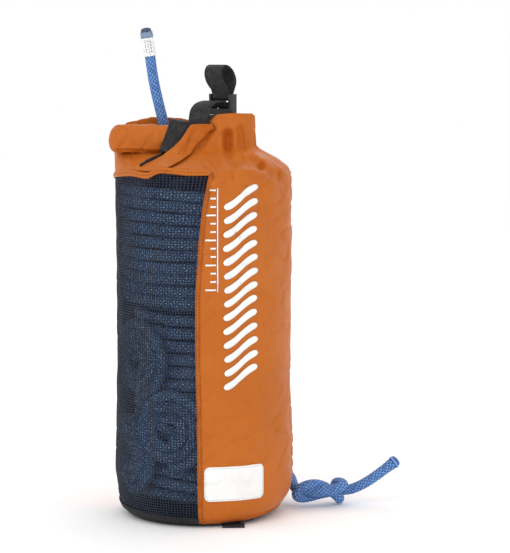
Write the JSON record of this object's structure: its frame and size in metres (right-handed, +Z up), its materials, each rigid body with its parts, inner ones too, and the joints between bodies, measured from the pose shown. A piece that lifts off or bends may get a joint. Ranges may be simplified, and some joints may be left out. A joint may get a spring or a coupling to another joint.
{
  "type": "rope storage bag",
  "caption": "Upright cylindrical rope bag with see-through mesh front, rolled mouth held by a strap and side-release buckle, haul loop, and rope leaving at mouth and low eyelet.",
  "frame": {"origin": "centre of the round base's underside, on the surface the bag stands on", "axes": "+Z up the bag, -Y out of the front with the label, +X towards the side where the lower rope end leaves"},
  "size_m": [0.271, 0.1654, 0.4485],
  "materials": {
    "orange_fabric": "coated polyamide cloth, satin, fine weave",
    "mesh_fabric": "open polyester knit, matt",
    "orange_binding": "folded and stitched cloth tape",
    "base_fabric": "heavy coated cloth, matt",
    "stiffener": "flexible strip",
    "label": "printed white write-on patch, smooth",
    "black_webbing": "woven polyester webbing",
    "grommet": "moulded eyelet, satin",
    "rope_blue": "braided polyamide sheath with dark tracer strands",
    "tag_sleeve": "heat-shrunk sleeve",
    "rope_tip": "melted and sealed sheath",
    "buckle_plastic": "moulded acetal, light gloss"
  },
  "bodies": {
    "bag": {"body_panel": "orange_fabric", "collar_band": "orange_fabric", "rolled_collar": "orange_fabric", "collar_fold_right": "orange_fabric", "collar_back_flap": "orange_fabric", "collar_front_lip": "orange_fabric", "mesh_panel": "mesh_fabric", "mesh_seam_binding_front": "orange_binding", "mesh_seam_binding_rear": "orange_binding", "mesh_top_seam": "orange_binding", "base_binding": "orange_binding", "base_panel": "base_fabric", "mouth_stiffener": "stiffener", "label_patch": "label", "base_tab": "black_webbing", "buckle_anchor_strap": "black_webbing", "closure_strap_top": "black_webbing", "closure_strap_front": "black_webbing", "rope_grommet_outer": "grommet", "rope_grommet_inner": "grommet", "rope_pile": "rope_blue", "rope_upper_tail": "rope_blue", "rope_lower_lead": "rope_blue", "stopper_knot": "rope_blue", "rope_tail": "rope_blue", "rope_end_tag": "tag_sleeve", "rope_tip_upper": "rope_tip", "rope_tip_lower": "rope_tip", "buckle_female": "buckle_plastic"},
    "buckle_male": {"buckle_male": "buckle_plastic", "closure_strap_drop": "black_webbing"},
    "prong_left": {"buckle_prong_left": "buckle_plastic"},
    "prong_right": {"buckle_prong_right": "buckle_plastic"},
    "haul_loop": {"haul_loop": "black_webbing"},
    "strap_tail": {"closure_strap_tail": "black_webbing"}
  },
  "joints": [
    {"name": "buckle_release", "type": "slide", "parent": "bag", "child": "buckle_male", "axis": [0, 0, 1], "range_m": [0, 0.02]},
    {"name": "prong_left_squeeze", "type": "hinge", "parent": "buckle_male", "child": "prong_left", "pos_m": [0.01271, 0.00643, 0.366], "axis": [-0.6428, -0.766, 0], "range_deg": [0, 6], "stiffness_Nm_per_rad": 0.1},
    {"name": "prong_right_squeeze", "type": "hinge", "parent": "buckle_male", "child": "prong_right", "pos_m": [0.02329, -0.00244, 0.366], "axis": [0.6428, 0.766, 0], "range_deg": [0, 6], "stiffness_Nm_per_rad": 0.1},
    {"name": "haul_loop_swing", "type": "hinge", "parent": "buckle_male", "child": "haul_loop", "pos_m": [0.018, 0.002, 0.38475], "axis": [-0.766, 0.6428, 0], "range_deg": [-15, 75], "stiffness_Nm_per_rad": 0.01},
    {"name": "strap_tail_swing", "type": "hinge", "parent": "buckle_male", "child": "strap_tail", "pos_m": [0.02166, 0.00637, 0.3855], "axis": [0.766, -0.6428, 0], "range_deg": [0, 80]}
  ]
}
